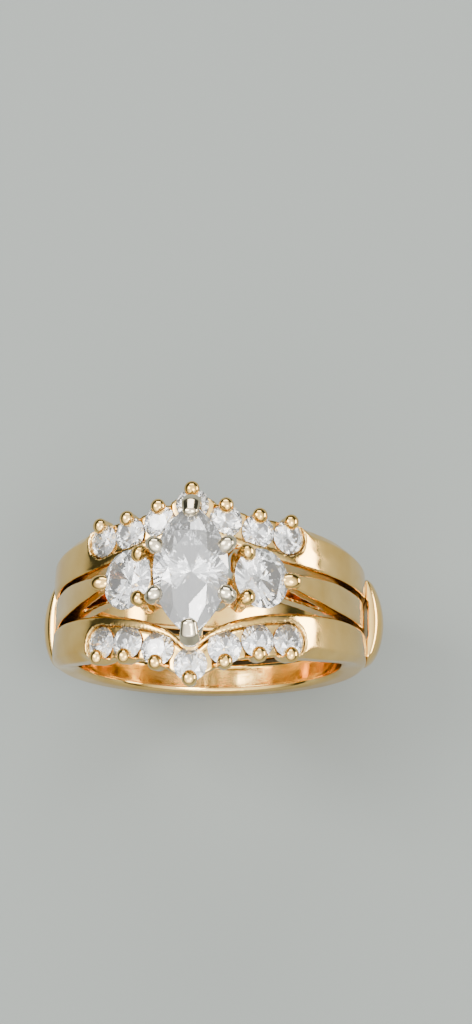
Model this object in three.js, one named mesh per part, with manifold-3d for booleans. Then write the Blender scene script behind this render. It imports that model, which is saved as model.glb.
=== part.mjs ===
// A bridal set: an engagement ring with a marquise and two round side diamonds, nested in a ring guard whose
// two chevron bands carry seven small diamonds each. A bar at each side joins the guard's bands. It is bowed
// round the outside of the engagement ring's shank, so the engagement ring lifts out of the guard along +Z.
//
// Millimetres and degrees. The origin is the middle of the finger hole. +Y runs along the finger, +Z rises
// through the marquise, and an angle round the finger is measured from +Z towards +X.

import * as THREE from 'three';
import { mergeVertices } from 'three/addons/utils/BufferGeometryUtils.js';
import Module from 'manifold-3d';

const wasm = await Module();
wasm.setup();

// ---------------------------------------------------------------- driving dimensions

const FINGER_R = 8.5; // a finger hole 17.0 across
const FIT = 0.04; // clearance round a stone in its seat, and between two castings that are soldered together

// Section of a guard band. Widths are measured along the finger from the middle plane of the set.
const BAND = {
  topR: 10.2, // outer radius of the plain part
  seatR: 9.85, // floor between the small stones
  rimR: 10.6, // top of the raised rim at the point of the chevron
  rimWidth: 0.56,
  rimWidthAtPoint: 0.34,
  gap: 1.25, // half of the gap that the engagement ring sits in
  notchDepth: 2.6, // how far the inner edge steps out at the point of the chevron
  notchSpread: 17, // angle over which that step dies away
  notchRound: 3.5, // angle within which the step's point is rounded
  faceY: 3.2, // the flat outer side, round the underside of the finger
  faceTopR: 9.85,
  faceFootR: 8.8,
  shoulderSpread: 0.85, // how much wider the band is beside the last stone than under the finger
  stoneZone: 41, // the stones and their rim end at this angle
  stoneZoneFade: 4,
  sideZone: 95, // from this angle on the outer side is flat
};

// The centres of the small stones follow a chevron line.
const SMALL_STONE = {
  diameter: 2.05,
  girdleR: 10.03,
  step: 11.65,
  lineY: 3.2,
  lineRise: 1.76,
  lineSpread: 13,
  linePower: 1.3,
};
const STONES_PER_BAND = 7;
const BEAD = { radius: 0.42, offset: 0.97, footR: 9.2, topR: 10.78 };
const AZURE_R = 0.55; // the hole behind each small stone, open to the finger

const BRIDGE = { halfY: 2.85, innerR: 10.24, archR: 10.3, outerR: 11.45, bottomZ: -3.9, topZ: -0.2 };

const RING_TURN = 1.6; // the engagement ring sits turned a little round the finger inside its guard
const SHANK = {
  railR: 9.6, // the rail that runs under the heads
  outerR: 10.1,
  bottomHalfY: 0.95,
  sideHalfY: 0.9,
  shoulderHalfY: 0.6,
  armTopR: 11.8, // where a cathedral arm meets the side head
  armDepth: 0.95,
  armStart: 32.5, // angle of the arm's upper end
  armEnd: 75, // angle where the arm has sunk into the shank
};

const MARQUISE = { length: 8.05, width: 4.45, girdleZ: 13.4 };
const SIDE_STONE = { diameter: 3.66, x: 4.05, z: 11.1, tilt: 34 };

// Proportions of a cut stone, as fractions of its width.
const CUT = { table: 0.28, crown: 0.15, girdle: 0.02, pavilion: 0.42, marquisePavilion: 0.48 };

const CENTRE_HEAD = {
  footZ: 9.68,
  baseTopZ: 10.35,
  galleryZ: 11.9,
  galleryThickness: 0.5,
  footScale: 0.62,
  galleryScale: 0.84,
  wall: 0.42,
  clawZ: 13.72,
  sideProng: { x: 2.2, y: 1.56, footX: 1.3, footY: 1.35, radius: 0.42 },
  tipProng: {
    halfWidth: 0.42,
    halfThickness: 0.32,
    // height, y
    path: [[9.68, 2.3], [10.4, 2.98], [10.8, 3.2], [11.9, 3.68], [13.0, 4.08], [13.6, 4.02], [14.0, 3.45]],
  },
};
const SIDE_HEAD = { prongR: 0.37, prongReach: 1.87, footReach: 1.05, footDepth: 1.98, clawHeight: 0.42 };
const SIDE_PRONG_ANGLES = [0, 130, 230]; // round the stone, from the side away from the marquise

// How finely round shapes are divided.
const BAND_SEGMENTS = 80;
const SHANK_SEGMENTS = 72;
const SMALL_STONE_SEGMENTS = 12;
const SIDE_STONE_SEGMENTS = 18;
const MARQUISE_SEGMENTS = 24;
const PRONG_SEGMENTS = 8;

// ---------------------------------------------------------------- materials

const yellowGold = () => new THREE.MeshStandardMaterial({ color: 0xe0ac5c, roughness: 0.18, metalness: 1 });
const whiteGold = () => new THREE.MeshStandardMaterial({ color: 0xd8d2c2, roughness: 0.16, metalness: 1 });
const diamond = () => new THREE.MeshStandardMaterial({ color: 0xeef1f6, roughness: 0.03, metalness: 0 });

// ---------------------------------------------------------------- solids and geometry

const { degToRad, smoothstep, lerp } = THREE.MathUtils;

// The triangles that are left once vertices at one place are merged, without those that shrank to a line.
function mergedMesh(geometry) {
  const bare = geometry.clone();
  bare.deleteAttribute('normal');
  bare.deleteAttribute('uv');
  const merged = mergeVertices(bare, 1e-4);
  const corners = merged.getIndex().array;
  const kept = [];
  for (let i = 0; i < corners.length; i += 3) {
    const [a, b, c] = [corners[i], corners[i + 1], corners[i + 2]];
    if (a !== b && b !== c && c !== a) kept.push(a, b, c);
  }
  return { vertProperties: merged.getAttribute('position').array, triVerts: Uint32Array.from(kept) };
}

const toSolid = (geometry) => new wasm.Manifold(new wasm.Mesh({ numProp: 3, ...mergedMesh(geometry) }));

function toGeometry(solid) {
  const mesh = solid.getMesh();
  const geometry = new THREE.BufferGeometry();
  geometry.setAttribute('position', new THREE.BufferAttribute(Float32Array.from(mesh.vertProperties), 3));
  geometry.setIndex(new THREE.BufferAttribute(Uint32Array.from(mesh.triVerts), 1));
  return geometry;
}

const join = (solids) => solids.reduce((whole, solid) => whole.add(solid));
const cut = (solid, tools) => tools.reduce((rest, tool) => rest.subtract(tool), solid);

// A ring round the finger whose section, a list of (radius, y) points, is a function of the angle. The points
// run counter-clockwise with the radius to the right. Sections are closest together near the top, where they
// change most.
function ringSolid(section, segments) {
  const crowding = 0.45;
  const outlineAt = (degrees) => {
    const points = section(degrees).map(([radius, y]) => new THREE.Vector2(radius, y));
    return [...points, points[0]];
  };
  const count = outlineAt(0).length;
  const geometry = new THREE.LatheGeometry(outlineAt(0), segments);
  const place = geometry.getAttribute('position');
  for (let i = 0; i <= segments; i += 1) {
    const turn = (2 * Math.PI * (i % segments)) / segments;
    const angle = turn - crowding * Math.sin(turn);
    const points = outlineAt(THREE.MathUtils.radToDeg(angle > Math.PI ? angle - 2 * Math.PI : angle));
    for (let j = 0; j < count; j += 1) {
      const { x: radius, y } = points[j];
      place.setXYZ(i * count + j, radius * Math.sin(angle), y, radius * Math.cos(angle));
    }
  }
  return toSolid(geometry);
}

// A solid of revolution about +Z from (radius, height) points that start and end on the axis, lowest first.
function turned(points, segments) {
  const profile = points.map(([radius, height]) => new THREE.Vector2(radius, height));
  return new THREE.LatheGeometry(profile, segments).rotateX(Math.PI / 2);
}

// A rounded pin from one point to another, a little fatter at its top.
function pin(foot, top, footRadius, topRadius) {
  const length = foot.distanceTo(top);
  const dome = topRadius * 0.7;
  const outline = [
    [0, 0],
    [footRadius, 0],
    [topRadius, length - dome],
    [topRadius * 0.6, length],
    [0, length],
  ];
  const geometry = turned(outline, PRONG_SEGMENTS);
  const along = new THREE.Vector3().subVectors(top, foot).normalize();
  geometry.applyQuaternion(new THREE.Quaternion().setFromUnitVectors(new THREE.Vector3(0, 0, 1), along));
  return toSolid(geometry.translate(foot.x, foot.y, foot.z));
}

// ---------------------------------------------------------------- cut stones

// Profile of a stone of the given width, with room added all round it when it is used to cut a seat.
function stoneProfile(width, room = 0, pavilion = CUT.pavilion) {
  const half = width / 2;
  const slopeRoom = room * 1.4;
  return [
    [0, -pavilion * width - slopeRoom],
    [half + room, -CUT.girdle * half - room * 0.4],
    [half + room, CUT.girdle * half + room * 0.4],
    [CUT.table * width + room, CUT.crown * width + room],
    [0, CUT.crown * width + room],
  ];
}

const roundStone = (diameter, room, segments) => turned(stoneProfile(diameter, room), segments);

// Distance from the centre to a marquise outline of two equal arcs, pointed at +Y and -Y.
function marquiseReach(angle, length, width) {
  const arcR = (length ** 2 + width ** 2) / (4 * width);
  const back = arcR - width / 2;
  const across = back * Math.abs(Math.cos(angle));
  return Math.sqrt(across ** 2 + arcR ** 2 - back ** 2) - across;
}

// A turned shape of the marquise's width, pulled out to the marquise outline in plan.
function toMarquise(geometry, width, length) {
  const place = geometry.getAttribute('position');
  for (let i = 0; i < place.count; i += 1) {
    const [x, y] = [place.getX(i), place.getY(i)];
    const stretch = marquiseReach(Math.atan2(y, x), length, width) / (width / 2);
    place.setXY(i, x * stretch, y * stretch);
  }
  return geometry;
}

function marquiseStone(room) {
  const profile = stoneProfile(MARQUISE.width, room, CUT.marquisePavilion);
  return toMarquise(turned(profile, MARQUISE_SEGMENTS), MARQUISE.width, MARQUISE.length);
}

// ---------------------------------------------------------------- the ring guard

// Distance of the small stones' centre line from the middle plane, at an angle round the finger.
function stoneLineY(angle) {
  const fade = Math.exp(-((Math.abs(angle) / SMALL_STONE.lineSpread) ** SMALL_STONE.linePower));
  return SMALL_STONE.lineY + SMALL_STONE.lineRise * fade;
}

// Distance of a band's inner edge from the middle plane: a step out to a rounded point at the top.
function innerEdgeY(angle) {
  const away = Math.abs(angle) * (1 - Math.exp(-((angle / BAND.notchRound) ** 2)));
  return BAND.gap + BAND.notchDepth * Math.exp(-away / BAND.notchSpread);
}

// Section of the band on the +Y side. It mixes the stone-set section into the plain one.
function bandSection(angle) {
  const away = Math.abs(angle);
  const plain = smoothstep(away, BAND.stoneZone - BAND.stoneZoneFade, BAND.stoneZone + BAND.stoneZoneFade);
  const inner = innerEdgeY(angle);
  const slim = smoothstep(away, BAND.stoneZone, BAND.sideZone);
  const plainFace = BAND.faceY + BAND.shoulderSpread * (1 - slim);
  const line = stoneLineY(angle);
  const rimY = inner + lerp(BAND.rimWidthAtPoint, BAND.rimWidth, smoothstep(away, 0, 22));
  const rimR = lerp(BAND.rimR - 0.2 * Math.min(1, away / BAND.stoneZone), BAND.topR, plain);
  const floorR = lerp(BAND.seatR, BAND.topR - 0.02, plain);
  const shoulderY = lerp(line + 0.8, plainFace - lerp(0.55, 0.28, slim), plain);
  const faceY = lerp(line + 0.98, plainFace, plain);
  const footY = lerp(line + 0.5, plainFace - 0.15, plain);
  return [
    [FINGER_R, inner],
    [FINGER_R + 0.12, inner - 0.06],
    [rimR - 0.1, inner - 0.06],
    [rimR, inner + 0.06],
    [rimR, rimY],
    [floorR, rimY + 0.06],
    [floorR, shoulderY],
    [lerp(9.6, BAND.faceTopR, plain * slim), faceY],
    [BAND.faceFootR, lerp(faceY - 0.3, faceY, plain)],
    [FINGER_R, footY],
  ];
}

const bandSolid = () => ringSolid(bandSection, BAND_SEGMENTS);

// Moves a geometry made about the origin to a place on the +Y band: out along the radius at that angle.
function onBand(geometry, angle, y, radius) {
  return geometry
    .translate(0, 0, radius)
    .rotateY(degToRad(angle))
    .translate(0, y, 0);
}

const stoneAngles = [];
for (let i = 0; i < STONES_PER_BAND; i += 1) {
  stoneAngles.push((i - (STONES_PER_BAND - 1) / 2) * SMALL_STONE.step);
}

function guardBand() {
  const beads = [];
  const seats = [];
  for (const angle of stoneAngles) {
    const line = stoneLineY(angle);
    const swing = new THREE.Quaternion().setFromAxisAngle(new THREE.Vector3(0, 1, 0), degToRad(angle));
    const foot = new THREE.Vector3(0, line + BEAD.offset - 0.1, BEAD.footR).applyQuaternion(swing);
    const top = new THREE.Vector3(0, line + BEAD.offset, BEAD.topR).applyQuaternion(swing);
    beads.push(pin(foot, top, BEAD.radius, BEAD.radius));
    const seat = roundStone(SMALL_STONE.diameter, FIT, SMALL_STONE_SEGMENTS);
    seats.push(toSolid(onBand(seat, angle, line, SMALL_STONE.girdleR)));
    const azure = turned([[0, -2.5], [AZURE_R, -2.5], [AZURE_R, 0], [0, 0]], PRONG_SEGMENTS);
    seats.push(toSolid(onBand(azure, angle, line, SMALL_STONE.girdleR)));
  }
  return cut(join([bandSolid(), ...beads]), seats);
}

// One bar, on the +X side: a bowed section turned round the finger and cut off above and below.
function bridgeBar() {
  const bow = [];
  const steps = 8;
  for (let i = 0; i <= steps; i += 1) {
    const along = -1 + (2 * i) / steps;
    const rise = (BRIDGE.outerR - BRIDGE.innerR - 0.15) * Math.sqrt(Math.cos((along * Math.PI) / 2));
    bow.push([BRIDGE.innerR + 0.15 + rise, along * BRIDGE.halfY]);
  }
  const arch = [
    [BRIDGE.innerR, BRIDGE.halfY - 0.1],
    [BRIDGE.innerR, 1.35],
    [BRIDGE.archR, 1.15],
    [BRIDGE.archR, -1.15],
    [BRIDGE.innerR, -1.35],
    [BRIDGE.innerR, 0.1 - BRIDGE.halfY],
  ];
  const outline = [...bow, ...arch, bow[0]].map(([radius, y]) => new THREE.Vector2(radius, y));
  const hoop = toSolid(new THREE.LatheGeometry(outline, BAND_SEGMENTS));
  const height = BRIDGE.topZ - BRIDGE.bottomZ;
  const block = new THREE.BoxGeometry(BRIDGE.outerR + 1, 4 * BRIDGE.halfY, height);
  block.translate((BRIDGE.outerR + 1) / 2, 0, BRIDGE.bottomZ + height / 2);
  return hoop.intersect(toSolid(block));
}

// ---------------------------------------------------------------- the engagement ring

// Radius of a cathedral arm's top: a curve that rises from the shank to the side head.
function armTopR(angle) {
  const climb = (SHANK.armEnd - Math.max(Math.abs(angle), SHANK.armStart)) / (SHANK.armEnd - SHANK.armStart);
  return SHANK.outerR + (SHANK.armTopR - SHANK.outerR) * Math.max(0, climb) ** 2;
}

function shankSection(angle) {
  const away = Math.abs(angle);
  const sideHalf = lerp(SHANK.sideHalfY, SHANK.bottomHalfY, smoothstep(away, 80, 180));
  const half = lerp(SHANK.shoulderHalfY, sideHalf, smoothstep(away, 32, 58));
  const top = armTopR(angle);
  return [
    [FINGER_R + 0.2, -half],
    [top - 0.35, -half],
    [top - 0.1, 0.16 - half],
    [top, 0],
    [top - 0.1, half - 0.16],
    [top - 0.35, half],
    [FINGER_R + 0.2, half],
    [FINGER_R, half - 0.15],
    [FINGER_R, 0.15 - half],
  ];
}

// Everything above the rail between the two cathedral arms, with the tapering window under each arm.
function underArms() {
  const outline = new THREE.Shape();
  const point = (angle, radius) => [radius * Math.sin(degToRad(angle)), radius * Math.cos(degToRad(angle))];
  const tip = 52;
  const clearR = 14;
  const step = 3;
  outline.moveTo(...point(-tip, SHANK.railR));
  for (let angle = step - tip; angle <= tip; angle += step) outline.lineTo(...point(angle, SHANK.railR));
  for (let angle = tip - step; angle > SHANK.armStart; angle -= step) {
    outline.lineTo(...point(angle, Math.max(armTopR(angle) - SHANK.armDepth, SHANK.railR + 0.05)));
  }
  outline.lineTo(...point(SHANK.armStart, armTopR(SHANK.armStart) - SHANK.armDepth));
  outline.lineTo(...point(SHANK.armStart, clearR));
  outline.lineTo(...point(-SHANK.armStart, clearR));
  outline.lineTo(...point(-SHANK.armStart, armTopR(SHANK.armStart) - SHANK.armDepth));
  for (let angle = SHANK.armStart + step; angle < tip; angle += step) {
    outline.lineTo(...point(-angle, Math.max(armTopR(angle) - SHANK.armDepth, SHANK.railR + 0.05)));
  }
  const geometry = new THREE.ExtrudeGeometry(outline, { depth: 6, bevelEnabled: false });
  return toSolid(geometry.rotateX(Math.PI / 2).translate(0, 3, 0));
}

const shank = () => ringSolid(shankSection, SHANK_SEGMENTS).subtract(underArms());

// A flat-topped marquise-shaped gallery ring between two heights, its outline scaled from the stone's.
function gallery(scale, lowZ, highZ) {
  const width = MARQUISE.width * scale;
  const outer = width / 2;
  const inner = outer - CENTRE_HEAD.wall;
  const outline = [[inner, lowZ], [outer, lowZ], [outer, highZ], [inner, highZ], [inner, lowZ]];
  const ring = turned(outline, MARQUISE_SEGMENTS);
  return toSolid(toMarquise(ring, width, MARQUISE.length * scale));
}

function centreHead() {
  const head = CENTRE_HEAD;
  const halfThick = head.galleryThickness / 2;
  const pieces = [
    gallery(head.footScale, head.footZ, head.baseTopZ),
    gallery(head.galleryScale, head.galleryZ - halfThick, head.galleryZ + halfThick),
  ];
  const { x, y, footX, footY, radius } = head.sideProng;
  for (const [sideX, sideY] of [[1, 1], [1, -1], [-1, 1], [-1, -1]]) {
    const foot = new THREE.Vector3(sideX * footX, sideY * footY, head.footZ);
    const top = new THREE.Vector3(sideX * x, sideY * y, head.clawZ);
    pieces.push(pin(foot, top, radius, radius * 1.1));
  }
  const { halfWidth, halfThickness, path } = head.tipProng;
  for (const sideY of [1, -1]) {
    const steps = path.length - 1;
    const strap = new THREE.BoxGeometry(2 * halfWidth, 2 * halfThickness, steps, 2, 1, steps);
    const place = strap.getAttribute('position');
    for (let i = 0; i < place.count; i += 1) {
      const level = Math.round(place.getZ(i) + steps / 2);
      const round = level === steps ? 0.62 : 1;
      const [z, y] = path[level];
      place.setXYZ(i, place.getX(i) * round, place.getY(i) * round + sideY * y, z);
    }
    pieces.push(toSolid(strap));
  }
  const seat = toSolid(marquiseStone(FIT).translate(0, 0, MARQUISE.girdleZ));
  return join(pieces).subtract(seat);
}

// The frame of a side stone: its girdle's centre, with +Z along the stone's axis.
function sideFrame(side) {
  const tilt = degToRad(side * SIDE_STONE.tilt);
  const turn = new THREE.Quaternion().setFromAxisAngle(new THREE.Vector3(0, 1, 0), tilt);
  const centre = new THREE.Vector3(side * SIDE_STONE.x, 0, SIDE_STONE.z);
  return new THREE.Matrix4().compose(centre, turn, new THREE.Vector3(1, 1, 1));
}

function sideHead(side) {
  const head = SIDE_HEAD;
  const foot = -head.footDepth;
  const collar = [[0.62, foot], [1.1, foot], [1.25, -1.35], [0.8, -1.35], [0.62, foot]];
  const pieces = [toSolid(turned(collar, SIDE_STONE_SEGMENTS))];
  for (const degrees of SIDE_PRONG_ANGLES) {
    const angle = degToRad(side > 0 ? degrees : 180 - degrees);
    const [alongX, alongY] = [Math.cos(angle), Math.sin(angle)];
    const low = new THREE.Vector3(alongX * head.footReach, alongY * head.footReach, foot);
    const high = new THREE.Vector3(alongX * head.prongReach, alongY * head.prongReach, head.clawHeight);
    pieces.push(pin(low, high, head.prongR * 0.9, head.prongR));
  }
  const seat = toSolid(roundStone(SIDE_STONE.diameter, FIT, SIDE_STONE_SEGMENTS));
  const geometry = toGeometry(join(pieces).subtract(seat)).applyMatrix4(sideFrame(side));
  const clearR = SHANK.railR + FIT;
  const rail = toSolid(new THREE.CylinderGeometry(clearR, clearR, 8, 4 * SHANK_SEGMENTS));
  return toSolid(geometry).subtract(rail);
}

// ---------------------------------------------------------------- assembly

const named = (name, geometry, material) => {
  const mesh = new THREE.Mesh(geometry, material);
  mesh.name = name;
  return mesh;
};

const set = new THREE.Group();

const bandGeometry = toGeometry(guardBand());
for (const [place, turn] of [['back', 0], ['front', Math.PI]]) {
  // The band is the same on both sides of its middle, so half a turn about +Z makes the other one.
  const band = named(`${place}_band`, bandGeometry, yellowGold());
  band.rotation.z = turn;
  set.add(band);
  stoneAngles.forEach((angle, i) => {
    const stone = roundStone(SMALL_STONE.diameter, 0, SMALL_STONE_SEGMENTS);
    const seated = onBand(stone, turn ? -angle : angle, stoneLineY(angle), SMALL_STONE.girdleR);
    const mesh = named(`${place}_diamond_${i + 1}`, seated, diamond());
    mesh.rotation.z = turn;
    set.add(mesh);
  });
}

const barGeometry = toGeometry(bridgeBar());
for (const [name, turn] of [['bridge_right', 0], ['bridge_left', Math.PI]]) {
  const bar = named(name, barGeometry, yellowGold());
  bar.rotation.z = turn;
  set.add(bar);
}

const engagementRing = new THREE.Group();
engagementRing.rotation.y = degToRad(RING_TURN);
engagementRing.add(named('shank', toGeometry(shank()), yellowGold()));
engagementRing.add(named('centre_head', toGeometry(centreHead()), whiteGold()));
const marquise = named('marquise_diamond', marquiseStone(0), diamond());
marquise.position.z = MARQUISE.girdleZ;
engagementRing.add(marquise);
for (const [place, side] of [['left', -1], ['right', 1]]) {
  engagementRing.add(named(`side_head_${place}`, toGeometry(sideHead(side)), yellowGold()));
  const stone = roundStone(SIDE_STONE.diameter, 0, SIDE_STONE_SEGMENTS).applyMatrix4(sideFrame(side));
  engagementRing.add(named(`side_diamond_${place}`, stone, diamond()));
}
set.add(engagementRing);

export default set;
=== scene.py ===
"""The looks of a bridal set: an engagement ring with a marquise and two side diamonds, in its ring guard.

Shapes are built in millimetres, in the frame of the CAD model, and scaled to metres as they become pieces.
Angles round the finger are in degrees, from +Z towards +X. The finger runs along Y.
"""

import math

import bmesh
import bpy
import numpy as np
from mathutils import Matrix, Vector


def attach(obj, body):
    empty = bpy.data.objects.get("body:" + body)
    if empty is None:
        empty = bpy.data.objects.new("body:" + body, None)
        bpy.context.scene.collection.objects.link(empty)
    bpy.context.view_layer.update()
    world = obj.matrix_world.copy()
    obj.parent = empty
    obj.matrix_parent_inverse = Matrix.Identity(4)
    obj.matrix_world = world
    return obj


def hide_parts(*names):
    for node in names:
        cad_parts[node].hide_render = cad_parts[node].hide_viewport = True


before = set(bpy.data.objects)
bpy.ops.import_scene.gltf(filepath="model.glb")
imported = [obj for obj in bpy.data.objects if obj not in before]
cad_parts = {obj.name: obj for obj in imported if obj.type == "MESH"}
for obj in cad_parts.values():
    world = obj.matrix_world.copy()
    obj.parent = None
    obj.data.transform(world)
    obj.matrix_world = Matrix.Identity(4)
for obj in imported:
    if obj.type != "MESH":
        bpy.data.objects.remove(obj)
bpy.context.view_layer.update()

MM = 0.001

# ------------------------------------------------------------------ driving dimensions
# They follow the CAD model, apart from the arms' upper ends, the seat of the bridge bars and the prongs,
# which are shaped more finely here. Lengths are in millimetres and angles in degrees.

FINGER_R = 8.5
STONES_PER_BAND = 7
SMALL_STONE, SMALL_STONE_R, STONE_STEP = 2.05, 10.03, 11.65
STONE_ANGLES = [(i - (STONES_PER_BAND - 1) / 2) * STONE_STEP for i in range(STONES_PER_BAND)]
LINE_Y, LINE_RISE, LINE_SPREAD, LINE_POWER = 3.2, 1.76, 13, 1.3

BAND_TOP_R, RIM_EXTRA, RIM_FADE = 10.24, 0.34, 20
RIM_WIDTH_POINT, RIM_WIDTH = 0.34, 0.56  # at the chevron's point, and away from it
BAND_GAP = 1.25  # from the middle plane to a band's inner edge, away from the chevron
NOTCH_DEPTH, NOTCH_SPREAD, NOTCH_ROUND = 2.6, 17, 3.5  # the chevron's step outwards
FACE_Y, SHOULDER_SPREAD, STONE_ZONE, SIDE_ZONE = 3.2, 0.85, 41, 95
POCKET_R = 9.93
LAST_STONE_ROOM = 0.13
SCALLOP_R, SCALLOP_HEIGHT, SCALLOP_Y, SCALLOP_LENGTH = 0.8, 10.3, 0.42, 4
AZURE_R, AZURE_DEPTH = 0.55, 2.6  # the hole behind a small stone
CUT_FAR_R, CUT_FAR_Y = 13, 9  # well outside the band, for the channel's cutter
WELL_TOP = 3  # well above a small stone, for the cutter of the channel's round end

BRIDGE_HALF_Y, BRIDGE_INNER_R, BRIDGE_ARCH_R, BRIDGE_OUTER_R = 2.85, 10.19, 10.3, 11.45
BRIDGE_LOW_Z, BRIDGE_TOP_Z = -3.9, -0.2
BRIDGE_EDGE = 0.12  # thickness of the bar along its long edges
BRIDGE_SEAT_Y, BRIDGE_ARCH_Y = 1.38, 1.12  # the bar sits on the bands, and arches over the shank

RING_TURN = 1.6  # the engagement ring sits slightly turned in its guard
RAIL_R, SHANK_R = 9.6, 10.1
SHOULDER_HALF_Y, SIDE_HALF_Y, BOTTOM_HALF_Y = 0.6, 0.9, 0.95
ARM_TOP_R, ARM_DEPTH, ARM_START, ARM_END = 11.8, 0.95, 30.9, 75
ARM_PINCH, ARM_PINCH_SPREAD = 0.15, 4  # how much the arm narrows into the side head, and over what angle
RAIL_PINCH, RAIL_PINCH_END = 0.1, 18
WINDOW_TIP, WINDOW_FAR_R, WINDOW_HALF_Y = 52, 14, 3
MARQUISE_LENGTH, MARQUISE_WIDTH, MARQUISE_Z = 8.05, 4.45, 13.4
SIDE_STONE, SIDE_X, SIDE_Z, SIDE_TILT = 3.66, 4.05, 11.1, 34
SIDE_PRONGS = [0, 130, 230]
SIDE_PRONG_BOW = 0.45

GALLERY_WALL = 0.42
BASE_GALLERY = (0.62, 9.7, 10.35)  # scale of the stone's outline, lower and upper height
UPPER_GALLERY = (0.84, 11.65, 12.15)
POST_X, POST_LOW, POST_HIGH, POST_R = 1.2, 9.5, 9.95, 0.3
CLAW_X, CLAW_Y, CLAW_Z, CLAW_IN, CLAW_TILT = 2.2, 1.54, 13.5, 0.2, 0.35
CLAW_SIZE = (0.6, 0.5, 0.38)
# centre head's prongs: each point of the path, then the prong's radius there
CORNER_PRONG = [
    ((1.35, 1.4, 10.02), 0.38),
    ((1.82, 1.52, 11.6), 0.4),
    ((2.17, 1.58, 12.9), 0.44),
    ((2.25, 1.6, 13.35), 0.48),
]
TIP_PRONG = [
    ((0, 2.35, 10.02), 0.36),
    ((0, 2.92, 10.4), 0.36),
    ((0, 3.2, 10.8), 0.36),
    ((0, 3.5, 11.25), 0.37),
    ((0, 3.8, 11.9), 0.38),
    ((0, 4.16, 13.0), 0.4),
    ((0, 4.18, 13.4), 0.42),
    ((0, 3.93, 13.75), 0.4),
    ((0, 3.4, 13.97), 0.34),
]
TIP_PRONG_WIDTH = 1.45  # times its thickness

TABLE, CROWN, GIRDLE, PAVILION, MARQUISE_PAVILION = 0.56, 0.15, 0.026, 0.42, 0.48

SEAT_ROOM = 0.03
FLOOR_Z = -10.25

# voxel size and rounds of polishing for each kind of casting
BAND_CAST = (0.077, 9)
BRIDGE_CAST = (0.07, 6)
SHANK_CAST = (0.075, 4)
HEAD_CAST = (0.055, 4)

DIAMOND_IOR = 2.417
TUBE_SIDES, DOME_STEPS = 20, 5
SHARP_ANGLE = math.radians(38)

# ------------------------------------------------------------------ small helpers


def smoothstep(x, low, high):
    t = min(1.0, max(0.0, (x - low) / (high - low)))
    return t * t * (3 - 2 * t)


def lerp(a, b, t):
    return a + (b - a) * t


def round_finger(angle, radius, y=0.0):
    """The point at an angle round the finger."""
    a = math.radians(angle)
    return Vector((radius * math.sin(a), y, radius * math.cos(a)))


def object_from(name, verts, faces):
    mesh = bpy.data.meshes.new(name)
    mesh.from_pydata([tuple(v) for v in verts], [], [tuple(f) for f in faces])
    mesh.validate()
    obj = bpy.data.objects.new(name, mesh)
    bpy.context.scene.collection.objects.link(obj)
    return obj


def object_from_bmesh(name, bm):
    mesh = bpy.data.meshes.new(name)
    bm.to_mesh(mesh)
    bm.free()
    obj = bpy.data.objects.new(name, mesh)
    bpy.context.scene.collection.objects.link(obj)
    return obj


def joined(name, objects):
    """One object that holds the shells of several."""
    bm = bmesh.new()
    for obj in objects:
        bm.from_mesh(obj.data)
        drop(obj)
    return object_from_bmesh(name, bm)


def drop(obj):
    mesh = obj.data
    bpy.data.objects.remove(obj)
    bpy.data.meshes.remove(mesh)


def apply_modifiers(obj):
    """Replaces the object's mesh by its evaluated one."""
    graph = bpy.context.evaluated_depsgraph_get()
    mesh = bpy.data.meshes.new_from_object(obj.evaluated_get(graph), depsgraph=graph)
    old = obj.data
    obj.modifiers.clear()
    obj.data = mesh
    bpy.data.meshes.remove(old)


def subtract(obj, cutters):
    for cutter in cutters:
        mod = obj.modifiers.new("cut", "BOOLEAN")
        mod.operation, mod.solver, mod.object = "DIFFERENCE", "MANIFOLD", cutter
    apply_modifiers(obj)
    for cutter in cutters:
        drop(cutter)


def cast(obj, voxel, rounds):
    """Fuses overlapping shells into one skin and softens its edges, as polishing softens a casting."""
    mod = obj.modifiers.new("fuse", "REMESH")
    mod.mode, mod.voxel_size = "VOXEL", voxel
    mod = obj.modifiers.new("polish", "SMOOTH")
    mod.factor, mod.iterations = 0.5, rounds
    apply_modifiers(obj)


def orient(obj):
    bm = bmesh.new()
    bm.from_mesh(obj.data)
    bmesh.ops.recalc_face_normals(bm, faces=bm.faces)
    bm.to_mesh(obj.data)
    bm.free()


# ------------------------------------------------------------------ solids


def ring_solid(name, section, angles, closed=True):
    """A ring, or a sector of one, whose section of (radius, y) points depends on the angle."""
    rows = [np.array(section(a), dtype=float) for a in angles]
    count, rings = len(rows[0]), len(rows)
    verts = []
    for a, row in zip(angles, rows):
        s, c = math.sin(math.radians(a)), math.cos(math.radians(a))
        verts.extend((r * s, y, r * c) for r, y in row)
    faces = []
    for i in range(rings if closed else rings - 1):
        j = (i + 1) % rings
        for k in range(count):
            n = (k + 1) % count
            faces.append((i * count + k, i * count + n, j * count + n, j * count + k))
    if not closed:
        faces.append(tuple(range(count)))
        faces.append(tuple(reversed(range((rings - 1) * count, rings * count))))
    obj = object_from(name, verts, faces)
    orient(obj)
    return obj


def ring_angles(count):
    """Angles all the way round, closest together near the top."""
    turns = [2 * math.pi * i / count for i in range(count)]
    crowding = 0.4
    angles = [math.degrees(t - crowding * math.sin(t)) for t in turns]
    return [a - 360 if a > 180 else a for a in angles]


def turned(name, outline, segments=32):
    """A solid of revolution about +Z. The outline's first and last points are on the axis."""
    inner = outline[1:-1]
    verts = [(0, 0, outline[0][1]), (0, 0, outline[-1][1])]
    for i in range(segments):
        a = 2 * math.pi * i / segments
        verts.extend((r * math.cos(a), r * math.sin(a), z) for r, z in inner)
    n = len(inner)
    faces = []
    for i in range(segments):
        here, there = 2 + i * n, 2 + ((i + 1) % segments) * n
        faces.append((0, there, here))
        faces.append((1, here + n - 1, there + n - 1))
        for k in range(n - 1):
            faces.append((here + k, there + k, there + k + 1, here + k + 1))
    return object_from(name, verts, faces)


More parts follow.
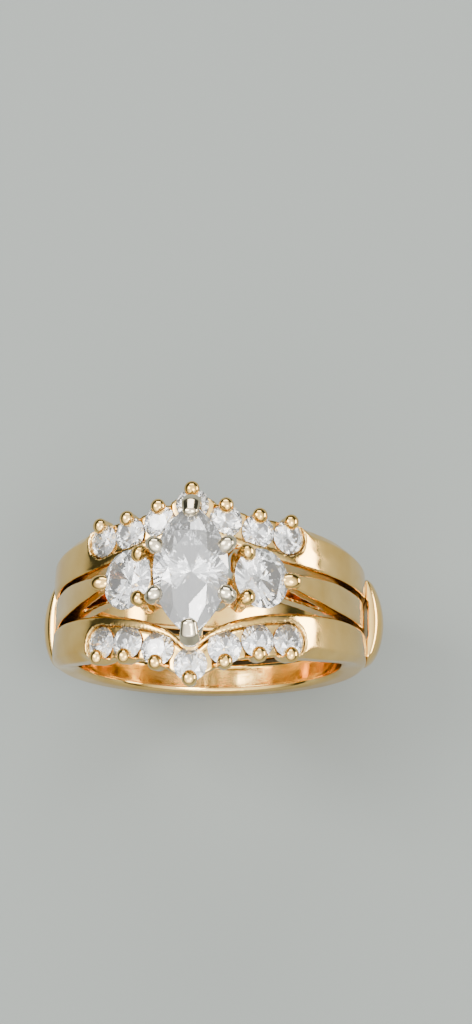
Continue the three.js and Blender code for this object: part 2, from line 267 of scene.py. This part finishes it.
def placed(obj, matrix):
    obj.data.transform(matrix)
    return obj


def tube(points, radii, flat=1.0):
    """A closed round bar along points, with a dome at each end. flat scales it at right angles to Y."""
    points = [Vector(p) for p in points]
    across, sides, steps, rings = Vector((0, 1, 0)), TUBE_SIDES, DOME_STEPS, []
    first, last = (points[1] - points[0]).normalized(), (points[-1] - points[-2]).normalized()
    for i in range(steps):
        a = math.pi / 2 * (i + 0.25) / steps
        rings.append((points[0] - first * radii[0] * math.cos(a), radii[0] * math.sin(a), first))
    for i, (p, r) in enumerate(zip(points, radii)):
        before, after = points[max(0, i - 1)], points[min(len(points) - 1, i + 1)]
        rings.append((p, r, (after - before).normalized()))
    for i in reversed(range(steps)):
        a = math.pi / 2 * (i + 0.25) / steps
        rings.append((points[-1] + last * radii[-1] * math.cos(a), radii[-1] * math.sin(a), last))
    verts = []
    for centre, radius, along in rings:
        side = (across - along * across.dot(along)).normalized()
        other = along.cross(side)
        for k in range(sides):
            a = 2 * math.pi * k / sides
            verts.append(centre + side * (radius * math.cos(a)) + other * (radius * flat * math.sin(a)))
    faces = [tuple(reversed(range(sides)))]
    for i in range(len(rings) - 1):
        for k in range(sides):
            n = (k + 1) % sides
            faces.append((i * sides + k, i * sides + n, (i + 1) * sides + n, (i + 1) * sides + k))
    faces.append(tuple(range((len(rings) - 1) * sides, len(rings) * sides)))
    return object_from("tube", verts, faces)


def ball(centre, size, turn):
    """An ellipsoid with half sizes along its own axes."""
    bm = bmesh.new()
    bmesh.ops.create_icosphere(bm, subdivisions=4, radius=1)
    matrix = Matrix.Translation(centre) @ turn @ Matrix.Diagonal((*size, 1))
    bmesh.ops.transform(bm, matrix=matrix, verts=bm.verts)
    return object_from_bmesh("ball", bm)


# ------------------------------------------------------------------ cut stones


def marquise_reach(angle, length, width):
    """Distance from the centre to an outline of two equal arcs that meet at points on the Y axis."""
    arc = (length**2 + width**2) / (4 * width)
    back = arc - width / 2
    across = back * abs(math.cos(angle))
    return math.sqrt(across**2 + arc**2 - back**2) - across


def brilliant(name, width, length=None, arc_steps=3):
    """A brilliant cut, girdle plane at z = 0, table up, with its 57 facets. A length makes it a marquise."""
    rim, table = 0.5, TABLE / 2
    depth = MARQUISE_PAVILION if length else PAVILION
    half_girdle = GIRDLE / 2
    crown_slope = (CROWN - half_girdle) / (rim - table)
    pavilion_slope = (depth - half_girdle) / rim
    half_step = math.pi / 8
    star_share, low_share = 0.52, 0.22
    star_r = lerp(table * math.cos(half_step), rim, star_share)
    star_z = CROWN - (star_r * math.cos(half_step) - table) * crown_slope
    low_r = low_share * rim
    low_z = low_r * math.cos(half_step) * pavilion_slope - depth

    def polar(radius, sector, z):
        a = sector * half_step
        return Vector((radius * math.cos(a), radius * math.sin(a), z))

    verts, index, faces = [], {}, []

    def vertex(point):
        key = tuple(round(c, 6) for c in point)
        if key not in index:
            index[key] = len(verts)
            verts.append(Vector(point))
        return index[key]

    def face(points):
        faces.append([vertex(p) for p in points])

    def arc(from_sector, apex, level):
        """Rim points of one girdle facet, each on the facet's own plane, so that the girdle is scalloped."""
        a, b = polar(rim, from_sector, level), polar(rim, from_sector + 1, level)
        normal = (a - apex).cross(b - apex)
        points = []
        for i in range(arc_steps + 1):
            p = polar(rim, from_sector + i / arc_steps, 0)
            p.z = apex.z - ((p.x - apex.x) * normal.x + (p.y - apex.y) * normal.y) / normal.z
            points.append(p)
        return points

    face([polar(table, 2 * k, CROWN) for k in range(8)])
    for k in range(8):
        even, odd = 2 * k, 2 * k + 1
        star, before = polar(star_r, odd, star_z), polar(star_r, odd - 2, star_z)
        face([polar(table, even, CROWN), star, polar(table, even + 2, CROWN)])
        face([polar(table, even, CROWN), before, polar(rim, even, half_girdle), star])
        low, low_before = polar(low_r, odd, low_z), polar(low_r, odd - 2, low_z)
        face([Vector((0, 0, -depth)), low, polar(rim, even, -half_girdle), low_before])
        for sector in (even, odd):
            upper = arc(sector, star, half_girdle)
            lower = arc(sector, low, -half_girdle)
            face([star, *upper])
            face([low, *reversed(lower)])
            for i in range(arc_steps):
                face([lower[i], lower[i + 1], upper[i + 1], upper[i]])
    placed_verts = []
    for v in verts:
        x, y, z = v * width
        if length:
            stretch = marquise_reach(math.atan2(y, x), length, width) / (width / 2)
            x, y = x * stretch, y * stretch
        placed_verts.append((x, y, z))
    obj = object_from(name, placed_verts, faces)
    orient(obj)
    return obj


def stone_cutter(width, room, length=None, segments=48):
    """A plain solid a little larger than the stone, to cut its seat."""
    half, slope = width / 2, room * 1.4
    depth = MARQUISE_PAVILION if length else PAVILION
    outline = [
        (0, -depth * width - slope),
        (half + room, -GIRDLE * half - room),
        (half + room, GIRDLE * half + room),
        (TABLE / 2 * width + room, CROWN * width + room),
        (0, CROWN * width + room),
    ]
    obj = turned("cutter", outline, segments)
    if length:
        for v in obj.data.vertices:
            stretch = marquise_reach(math.atan2(v.co.y, v.co.x), length, width) / (width / 2)
            v.co.x, v.co.y = v.co.x * stretch, v.co.y * stretch
    orient(obj)
    return obj


# ------------------------------------------------------------------ the ring guard, made on its +Y side


def line_y(angle):
    return LINE_Y + LINE_RISE * math.exp(-((abs(angle) / LINE_SPREAD) ** LINE_POWER))


def inner_y(angle):
    away = abs(angle) * (1 - math.exp(-((angle / NOTCH_ROUND) ** 2)))
    return BAND_GAP + NOTCH_DEPTH * math.exp(-away / NOTCH_SPREAD)


def small_stone_place(angle):
    turn = Matrix.Rotation(math.radians(angle), 4, "Y")
    return Matrix.Translation((0, line_y(angle), 0)) @ turn @ Matrix.Translation((0, 0, SMALL_STONE_R))


def band_section(angle):
    away = abs(angle)
    plain = smoothstep(away, STONE_ZONE - 3, STONE_ZONE + 6)
    slim = smoothstep(away, STONE_ZONE, SIDE_ZONE)
    inner, line = inner_y(angle), line_y(angle)
    plain_face = FACE_Y + SHOULDER_SPREAD * (1 - slim)
    top = BAND_TOP_R + RIM_EXTRA * math.exp(-((away / RIM_FADE) ** 2)) - 0.04 * slim
    shoulder = lerp(line + 0.86, plain_face - lerp(0.5, 0.24, slim), plain)
    face = lerp(line + 1.0, plain_face, plain)
    foot = lerp(line + 0.5, plain_face - 0.12, plain)
    crown_y = (inner + shoulder) / 2
    return [
        (FINGER_R + 0.12, inner - 0.05),
        (top - 0.12, inner - 0.05),
        (top - 0.02, inner + 0.07),
        (top + 0.03, crown_y),
        (top - 0.02, shoulder - 0.06),
        (top - 0.14, shoulder + 0.04),
        (lerp(9.7, 9.82, plain * slim), face),
        (8.85, lerp(face - 0.28, face, plain)),
        (FINGER_R + 0.06, foot),
        (FINGER_R, foot - 0.2),
        (FINGER_R, inner + 0.15),
    ]


def band_cutters():
    """What is cut from the band to make its stone channel and the scallops of its outer wall."""
    reach = STONE_ANGLES[-1]
    steps = 56
    angles = [lerp(-reach, reach, i / steps) for i in range(steps + 1)]

    def channel(angle):
        wall = inner_y(angle) + lerp(RIM_WIDTH_POINT, RIM_WIDTH, smoothstep(abs(angle), 0, 22))
        return [(POCKET_R, wall), (CUT_FAR_R, wall), (CUT_FAR_R, CUT_FAR_Y), (POCKET_R, CUT_FAR_Y)]

    cutters = [ring_solid("channel", channel, angles, closed=False)]
    room = SMALL_STONE / 2 + LAST_STONE_ROOM
    for end in (STONE_ANGLES[0], STONE_ANGLES[-1]):
        floor = POCKET_R - SMALL_STONE_R
        well = turned("well", [(0, floor), (room, floor), (room, WELL_TOP), (0, WELL_TOP)])
        orient(well)
        cutters.append(placed(well, small_stone_place(end)))
    for angle in STONE_ANGLES:
        outline = [(0, 0), (SCALLOP_R, 0), (SCALLOP_R, SCALLOP_LENGTH), (0, SCALLOP_LENGTH)]
        bar = turned("scallop", outline, 40)
        orient(bar)
        lie_down = Matrix.Rotation(-math.pi / 2, 4, "X")
        centre = round_finger(angle, SCALLOP_HEIGHT, line_y(angle) + SCALLOP_Y)
        cutters.append(placed(bar, Matrix.Translation(centre) @ lie_down))
    return cutters


def bead(angle):
    """A post beside a small stone, with a ball of metal pushed over the stone's edge."""
    line = line_y(angle)
    foot, waist = round_finger(angle, 8.95, line + 0.72), round_finger(angle, 9.6, line + 0.93)
    post = tube([foot, waist, round_finger(angle, 10.3, line + 0.97)], [0.34, 0.38, 0.42])
    cap = ball(
        round_finger(angle, 10.4, line + 0.9),
        (0.49, 0.51, 0.42),
        Matrix.Rotation(math.radians(angle), 4, "Y"),
    )
    return [post, cap]


def guard_band(name):
    obj = ring_solid(name, band_section, ring_angles(400))
    subtract(obj, band_cutters())
    obj = joined(name, [obj, *(part for angle in STONE_ANGLES for part in bead(angle))])
    cast(obj, *BAND_CAST)
    seats = []
    for angle in STONE_ANGLES:
        seats.append(placed(stone_cutter(SMALL_STONE, SEAT_ROOM), small_stone_place(angle)))
        azure = turned("azure", [(0, -AZURE_DEPTH), (AZURE_R, -AZURE_DEPTH), (AZURE_R, 0), (0, 0)], 24)
        orient(azure)
        seats.append(placed(azure, small_stone_place(angle)))
    subtract(obj, seats)
    return obj


def bridge_bar(name):
    """A bowed bar round the outside of the shank, on the +X side."""

    def section(angle):
        z = BRIDGE_OUTER_R * math.cos(math.radians(angle))
        z_share = (z - BRIDGE_LOW_Z) / (BRIDGE_TOP_Z - BRIDGE_LOW_Z)
        ends = min(1.0, max(0.0, 4 * z_share * (1 - z_share))) ** 0.5
        half = lerp(BRIDGE_HALF_Y - 0.35, BRIDGE_HALF_Y, ends)
        outer = lerp(BRIDGE_INNER_R + 0.3, BRIDGE_OUTER_R, ends)
        points = []
        steps = 28
        for i in range(steps + 1):
            along = -1 + 2 * i / steps
            rise = (outer - BRIDGE_INNER_R - BRIDGE_EDGE) * math.cos(along * math.pi / 2) ** 0.55
            points.append((BRIDGE_INNER_R + BRIDGE_EDGE + rise, along * half))
        points += [
            (BRIDGE_INNER_R, half - 0.06),
            (BRIDGE_INNER_R, BRIDGE_SEAT_Y),
            (BRIDGE_ARCH_R, BRIDGE_ARCH_Y),
            (BRIDGE_ARCH_R, -BRIDGE_ARCH_Y),
            (BRIDGE_INNER_R, -BRIDGE_SEAT_Y),
            (BRIDGE_INNER_R, 0.06 - half),
        ]
        return points

    top = math.degrees(math.acos(BRIDGE_TOP_Z / BRIDGE_OUTER_R))
    low = math.degrees(math.acos(BRIDGE_LOW_Z / BRIDGE_OUTER_R))
    steps = 60
    obj = ring_solid(name, section, [lerp(top, low, i / steps) for i in range(steps + 1)], closed=False)
    cast(obj, *BRIDGE_CAST)
    return obj


# ------------------------------------------------------------------ the engagement ring


def arm_top(angle):
    climb = (ARM_END - max(abs(angle), ARM_START)) / (ARM_END - ARM_START)
    return SHANK_R + (ARM_TOP_R - SHANK_R) * max(0.0, climb) ** 2


def shank_section(angle):
    away = abs(angle)
    side = lerp(SIDE_HALF_Y, BOTTOM_HALF_Y, smoothstep(away, 80, 180))
    half = lerp(SHOULDER_HALF_Y, side, smoothstep(away, 32, 58))
    half -= RAIL_PINCH * smoothstep(-away, -ARM_START, -RAIL_PINCH_END)
    half -= ARM_PINCH * math.exp(-(((away - ARM_START) / ARM_PINCH_SPREAD) ** 2))
    top = arm_top(angle)
    return [
        (FINGER_R + 0.14, -half),
        (top - 0.12, -half),
        (top - 0.02, 0.1 - half),
        (top, 0),
        (top - 0.02, half - 0.1),
        (top - 0.12, half),
        (FINGER_R + 0.14, half),
        (FINGER_R, half - 0.14),
        (FINGER_R, 0.14 - half),
    ]


def shank(name):
    obj = ring_solid(name, shank_section, ring_angles(360))

    def flat(angle, radius):
        p = round_finger(angle, radius)
        return (p.x, p.z)

    steps = 24
    outline = [flat(lerp(-WINDOW_TIP, WINDOW_TIP, i / (2 * steps)), RAIL_R) for i in range(2 * steps + 1)]
    falling = [lerp(WINDOW_TIP, ARM_START, (i + 1) / steps) for i in range(steps)]
    outline += [flat(a, max(arm_top(a) - ARM_DEPTH, RAIL_R + 0.04)) for a in falling]
    outline += [flat(ARM_START, WINDOW_FAR_R), flat(-ARM_START, WINDOW_FAR_R)]
    outline += [flat(-a, max(arm_top(a) - ARM_DEPTH, RAIL_R + 0.04)) for a in reversed(falling)]
    n = len(outline)
    verts = [(x, y, z) for y in (-WINDOW_HALF_Y, WINDOW_HALF_Y) for x, z in outline]
    faces = [tuple(range(n)), tuple(reversed(range(n, 2 * n)))]
    faces += [(i, i + n, (i + 1) % n + n, (i + 1) % n) for i in range(n)]
    window = object_from("window", verts, faces)
    orient(window)
    subtract(obj, [window])
    cast(obj, *SHANK_CAST)
    return obj


def gallery(scale, low, high):
    """A marquise-shaped ring of metal under the centre stone."""
    width, length = MARQUISE_WIDTH * scale, MARQUISE_LENGTH * scale
    steps = 72
    verts, faces = [], []
    for i in range(steps):
        a = 2 * math.pi * i / steps
        reach = marquise_reach(a, length, width)
        inside = reach - GALLERY_WALL
        for r, z in ((inside, low), (reach, low), (reach, high), (inside, high)):
            verts.append((r * math.cos(a), r * math.sin(a), z))
    for i in range(steps):
        j = (i + 1) % steps
        faces += [(4 * i + k, 4 * i + (k + 1) % 4, 4 * j + (k + 1) % 4, 4 * j + k) for k in range(4)]
    obj = object_from("gallery", verts, faces)
    orient(obj)
    return obj


def mirrored_tube(path, sx, sy, flat=1.0):
    """A tube along a path of (point, radius), with X and Y multiplied by the two signs."""
    return tube([(sx * x, sy * y, z) for (x, y, z), _ in path], [radius for _, radius in path], flat=flat)


def centre_head(name):
    parts = [gallery(*BASE_GALLERY), gallery(*UPPER_GALLERY)]
    for sx in (1, -1):  # two short posts, soldered into the shank's rail
        parts.append(tube([(sx * POST_X, 0, POST_LOW), (sx * POST_X, 0, POST_HIGH)], [POST_R, POST_R]))
    for sx in (1, -1):
        for sy in (1, -1):
            parts.append(mirrored_tube(CORNER_PRONG, sx, sy))
            inward = Vector((-sx * CLAW_X, -sy * CLAW_Y, 0)).normalized()
            tip = Vector((sx * CLAW_X, sy * CLAW_Y, CLAW_Z)) + inward * CLAW_IN
            facing = Matrix.Rotation(math.atan2(inward.y, inward.x), 4, "Z")
            parts.append(ball(tip, CLAW_SIZE, facing @ Matrix.Rotation(CLAW_TILT, 4, "Y")))
    for sy in (1, -1):
        parts.append(mirrored_tube(TIP_PRONG, 0, sy, flat=TIP_PRONG_WIDTH))
    obj = joined(name, parts)
    cast(obj, *HEAD_CAST)
    cutter = stone_cutter(MARQUISE_WIDTH, SEAT_ROOM, MARQUISE_LENGTH, 96)
    subtract(obj, [placed(cutter, Matrix.Translation((0, 0, MARQUISE_Z)))])
    return obj


def side_place(side):
    tilt = Matrix.Rotation(math.radians(side * SIDE_TILT), 4, "Y")
    return Matrix.Translation((side * SIDE_X, 0, SIDE_Z)) @ tilt


def side_head(name, side):
    collar = turned("collar", [(0, -1.98), (1.1, -1.98), (1.28, -1.3), (0, -1.3)])
    orient(collar)
    bore = turned("bore", [(0, -2.5), (0.62, -2.5), (0.8, -1.0), (0, -1.0)])
    orient(bore)
    subtract(collar, [bore])
    parts = [collar]
    for degrees in SIDE_PRONGS:
        a = math.radians(degrees if side > 0 else 180 - degrees)
        out = Vector((math.cos(a), math.sin(a), 0))
        outer = degrees == 0
        grow, reach, bow = (1.15, 0.1, 0) if outer else (1.05, 0.0, math.copysign(SIDE_PRONG_BOW, out.y))
        parts.append(
            tube(
                [
                    out * 1.15 + Vector((0, 0, -1.85)),
                    out * (1.45 + reach) + Vector((0, 0.8 * bow, -1.45)),
                    out * (1.62 + reach) + Vector((0, bow, -0.95)),
                    out * (1.76 + reach) + Vector((0, 0.6 * bow, -0.5)),
                    out * (1.88 + reach) + Vector((0, 0, -0.1)),
                    out * (1.92 + reach) + Vector((0, 0, 0.22)),
                ],
                [0.34, 0.37, 0.38, 0.38, 0.4 * grow, 0.43 * grow],
            )
        )
        turn = Matrix.Rotation(math.atan2(-out.y, -out.x), 4, "Z") @ Matrix.Rotation(0.3, 4, "Y")
        cap = (0.5 * grow + reach, 0.44 * grow, 0.34 * grow)
        parts.append(ball(out * (1.74 + reach) + Vector((0, 0, 0.36)), cap, turn))
    obj = joined(name, parts)
    cast(obj, *HEAD_CAST)
    subtract(obj, [stone_cutter(SIDE_STONE, SEAT_ROOM, segments=64)])
    return placed(obj, side_place(side))


# ------------------------------------------------------------------ materials


def node_material(name):
    mat = bpy.data.materials.new(name)
    mat.use_nodes = True
    nodes, links = mat.node_tree.nodes, mat.node_tree.links
    return mat, nodes, links, nodes["Principled BSDF"]


def noise_node(nodes, links, source, scale, detail):
    node = nodes.new("ShaderNodeTexNoise")
    node.inputs["Scale"].default_value = scale
    node.inputs["Detail"].default_value = detail
    links.new(source, node.inputs["Vector"])
    return node


def ramp_node(nodes, links, source, first, second):
    """A colour ramp between two (position, colour) pairs."""
    node = nodes.new("ShaderNodeValToRGB")
    for element, (position, colour) in zip(node.color_ramp.elements, (first, second)):
        element.position, element.color = position, (*colour, 1)
    links.new(source, node.inputs["Fac"])
    return node


def gold(name, deep, pale, smooth, worn):
    """Polished gold: patches of slightly paler metal, uneven polish, and fine scratches from wear."""
    mat, nodes, links, bsdf = node_material(name)
    bsdf.inputs["Metallic"].default_value = 1.0
    place = nodes.new("ShaderNodeTexCoord")
    patches = noise_node(nodes, links, place.outputs["Object"], scale=420, detail=3)
    colour = ramp_node(nodes, links, patches.outputs["Fac"], (0.35, deep), (0.7, pale))
    links.new(colour.outputs["Color"], bsdf.inputs["Base Color"])
    polish = noise_node(nodes, links, place.outputs["Object"], scale=1500, detail=4)
    rough = nodes.new("ShaderNodeMapRange")
    rough.inputs["From Min"].default_value, rough.inputs["From Max"].default_value = 0.35, 0.7
    rough.inputs["To Min"].default_value, rough.inputs["To Max"].default_value = smooth, worn
    links.new(polish.outputs["Fac"], rough.inputs["Value"])
    links.new(rough.outputs["Result"], bsdf.inputs["Roughness"])
    stretch = nodes.new("ShaderNodeMapping")
    stretch.inputs["Scale"].default_value = (900, 5200, 900)
    stretch.inputs["Rotation"].default_value = (0.3, 0.5, 0.2)
    links.new(place.outputs["Object"], stretch.inputs["Vector"])
    scratches = noise_node(nodes, links, stretch.outputs["Vector"], scale=1, detail=5)
    bump = nodes.new("ShaderNodeBump")
    bump.inputs["Strength"].default_value = 0.12
    bump.inputs["Distance"].default_value = 0.00002
    links.new(scratches.outputs["Fac"], bump.inputs["Height"])
    links.new(bump.outputs["Normal"], bsdf.inputs["Normal"])
    return mat


def diamond(name, tint, clear_share):
    """Clear faceted stone with a faint cloud of white in it."""
    mat, nodes, links, bsdf = node_material(name)
    bsdf.inputs["Roughness"].default_value = 0.0
    bsdf.inputs["IOR"].default_value = DIAMOND_IOR
    bsdf.inputs["Transmission Weight"].default_value = clear_share
    place = nodes.new("ShaderNodeTexCoord")
    cloud = noise_node(nodes, links, place.outputs["Object"], scale=900, detail=3)
    colour = ramp_node(nodes, links, cloud.outputs["Fac"], (0.3, tint), (0.7, (1, 1, 1)))
    links.new(colour.outputs["Color"], bsdf.inputs["Base Color"])
    return mat


def floor_material():
    mat, nodes, links, bsdf = node_material("pale_paper")
    bsdf.inputs["Base Color"].default_value = (0.165, 0.18, 0.167, 1)
    bsdf.inputs["Roughness"].default_value = 0.85
    return mat


# ------------------------------------------------------------------ pieces


def finish_piece(obj, body, material, nodes, smooth):
    """Scales a piece to metres, gives it its finish and hands it to the frame."""
    obj.data.transform(Matrix.Diagonal((MM, MM, MM, 1)))
    obj.data.materials.clear()
    obj.data.materials.append(material)
    obj.data.polygons.foreach_set("use_smooth", [smooth] * len(obj.data.polygons))
    if smooth:
        obj.data.set_sharp_from_angle(angle=SHARP_ANGLE)
    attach(obj, body)
    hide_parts(*nodes)


def copy_of(obj, name):
    twin = bpy.data.objects.new(name, obj.data.copy())
    bpy.context.scene.collection.objects.link(twin)
    return twin


yellow = gold("yellow_gold", (0.74, 0.45, 0.12), (0.89, 0.60, 0.22), 0.08, 0.18)
white = gold("white_gold", (0.56, 0.47, 0.32), (0.72, 0.63, 0.46), 0.1, 0.2)
clear = diamond("diamond", (1.0, 0.97, 0.92), 0.92)
milky = diamond("marquise_diamond", (1.0, 0.98, 0.94), 0.9)

HALF_TURN = Matrix.Rotation(math.pi, 4, "Z")
RING_PLACE = Matrix.Rotation(math.radians(RING_TURN), 4, "Y")


def make_guard():
    back = guard_band("back_band_gold")
    front = placed(copy_of(back, "front_band_gold"), HALF_TURN)
    for obj, node in ((back, "back_band"), (front, "front_band")):
        finish_piece(obj, "guard", yellow, [node], smooth=True)
    right = bridge_bar("bridge_right_gold")
    left = placed(copy_of(right, "bridge_left_gold"), HALF_TURN)
    for obj, node in ((right, "bridge_right"), (left, "bridge_left")):
        finish_piece(obj, "guard", yellow, [node], smooth=True)
    for side, turn in (("back", Matrix.Identity(4)), ("front", HALF_TURN)):
        for i, angle in enumerate(STONE_ANGLES):
            node = f"{side}_diamond_{i + 1}"
            stone = brilliant(f"{node}_cut", SMALL_STONE)
            spin = Matrix.Rotation(0.7 * i, 4, "Z")
            place = turn @ small_stone_place(-angle if side == "front" else angle) @ spin
            placed(stone, place)
            finish_piece(stone, "guard", clear, [node], smooth=False)


def make_engagement_ring():
    body = "engagement_ring"
    finish_piece(placed(shank("shank_gold"), RING_PLACE), body, yellow, ["shank"], smooth=True)
    head = placed(centre_head("centre_head_gold"), RING_PLACE)
    finish_piece(head, body, white, ["centre_head"], smooth=True)
    stone = brilliant("marquise_cut", MARQUISE_WIDTH, MARQUISE_LENGTH, arc_steps=5)
    placed(stone, RING_PLACE @ Matrix.Translation((0, 0, MARQUISE_Z)))
    finish_piece(stone, body, milky, ["marquise_diamond"], smooth=False)
    for place, side in (("left", -1), ("right", 1)):
        head = placed(side_head(f"side_head_{place}_gold", side), RING_PLACE)
        finish_piece(head, body, yellow, [f"side_head_{place}"], smooth=True)
        stone = brilliant(f"side_diamond_{place}_cut", SIDE_STONE, arc_steps=4)
        placed(stone, RING_PLACE @ side_place(side) @ Matrix.Rotation(0.2, 4, "Z"))
        finish_piece(stone, body, clear, [f"side_diamond_{place}"], smooth=False)


# ------------------------------------------------------------------ stage, lights and camera

CAMERA_DISTANCE = 120  # in mm, from the middle of the finger hole, along the view
CAMERA_LENS, SENSOR = 64.3, 36
CAMERA_ELEVATION, SET_LEAN, SET_YAW = 73.7, -5.7, -0.4
CENTRE_RIGHT, CENTRE_UP = -1.70, -7.12  # how far the finger hole's middle is off the view's middle


def make_camera():
    el = math.radians(CAMERA_ELEVATION)
    upright = Matrix.Rotation(math.radians(SET_YAW), 3, "Z") @ Matrix.Rotation(math.radians(SET_LEAN), 3, "Y")
    upright = upright.transposed()
    right = Vector((1, 0, 0))
    up = Vector((0, math.sin(el), math.cos(el)))
    near = Vector((0, -math.cos(el), math.sin(el)))
    eye = near * CAMERA_DISTANCE - right * CENTRE_RIGHT - up * CENTRE_UP
    turn = Matrix((upright @ right, upright @ up, upright @ near)).transposed()
    cam = bpy.data.objects.new("camera", bpy.data.cameras.new("camera"))
    cam.data.sensor_width, cam.data.lens = SENSOR, CAMERA_LENS
    cam.data.clip_start, cam.data.clip_end = 0.005, 5
    cam.matrix_world = Matrix.Translation(upright @ eye * MM) @ turn.to_4x4()
    bpy.context.scene.collection.objects.link(cam)
    bpy.context.scene.camera = cam


def area_light(name, place, width, height, power, colour):
    lamp = bpy.data.lights.new(name, "AREA")
    lamp.shape, lamp.size, lamp.size_y = "RECTANGLE", width, height
    lamp.energy, lamp.color = power, colour
    obj = bpy.data.objects.new(name, lamp)
    obj.location = place
    aim = Vector(LIGHT_TARGET) - Vector(place)
    obj.rotation_mode = "QUATERNION"
    obj.rotation_quaternion = aim.to_track_quat("-Z", "Y")
    bpy.context.scene.collection.objects.link(obj)


SKY_TILT = math.radians(-16)  # how far the bright part of the sky leans towards the front
SKY_STRENGTH = 3.0
SKY_DARK, SKY_BRIGHT = (0.26, (0.02, 0.024, 0.022)), (0.85, (0.96, 0.98, 1.0))
FLOOR_HALF_SIZE = 1.5  # m
LIGHT_TARGET = (0, 0, 0.01)
WARM, WARMER, NEUTRAL = (1, 0.98, 0.95), (1, 0.94, 0.86), (1, 1, 1)
# name, place in m, width and height in m, power in W, colour
LIGHTS = [
    ("left_top", (-0.2, 0.06, 0.3), 0.13, 0.17, 1.2, WARM),
    ("right_top", (0.14, -0.1, 0.34), 0.12, 0.14, 1.1, WARM),
    ("back", (0.0, 0.3, 0.24), 0.3, 0.12, 1.0, NEUTRAL),
    ("front", (0.0, -0.25, 0.3), 0.3, 0.16, 0.5, NEUTRAL),
    ("right_box", (0.33, 0.05, 0.062), 0.18, 0.09, 1.0, WARMER),
]


def make_stage():
    bm = bmesh.new()
    bmesh.ops.create_grid(bm, x_segments=2, y_segments=2, size=FLOOR_HALF_SIZE)
    floor = object_from_bmesh("floor", bm)
    floor.location.z = FLOOR_Z * MM
    floor.data.materials.append(floor_material())
    world = bpy.data.worlds.new("studio")
    world.use_nodes = True
    nodes, links = world.node_tree.nodes, world.node_tree.links
    place = nodes.new("ShaderNodeTexCoord")
    height = nodes.new("ShaderNodeSeparateXYZ")
    tilt = nodes.new("ShaderNodeMapping")
    tilt.inputs["Rotation"].default_value = (SKY_TILT, 0, 0)
    links.new(place.outputs["Generated"], tilt.inputs["Vector"])
    links.new(tilt.outputs["Vector"], height.inputs["Vector"])
    sky = ramp_node(nodes, links, height.outputs["Z"], SKY_DARK, SKY_BRIGHT)
    links.new(sky.outputs["Color"], nodes["Background"].inputs["Color"])
    nodes["Background"].inputs["Strength"].default_value = SKY_STRENGTH
    bpy.context.scene.world = world
    for light in LIGHTS:
        area_light(*light)


make_camera()
make_guard()
make_engagement_ring()
make_stage()
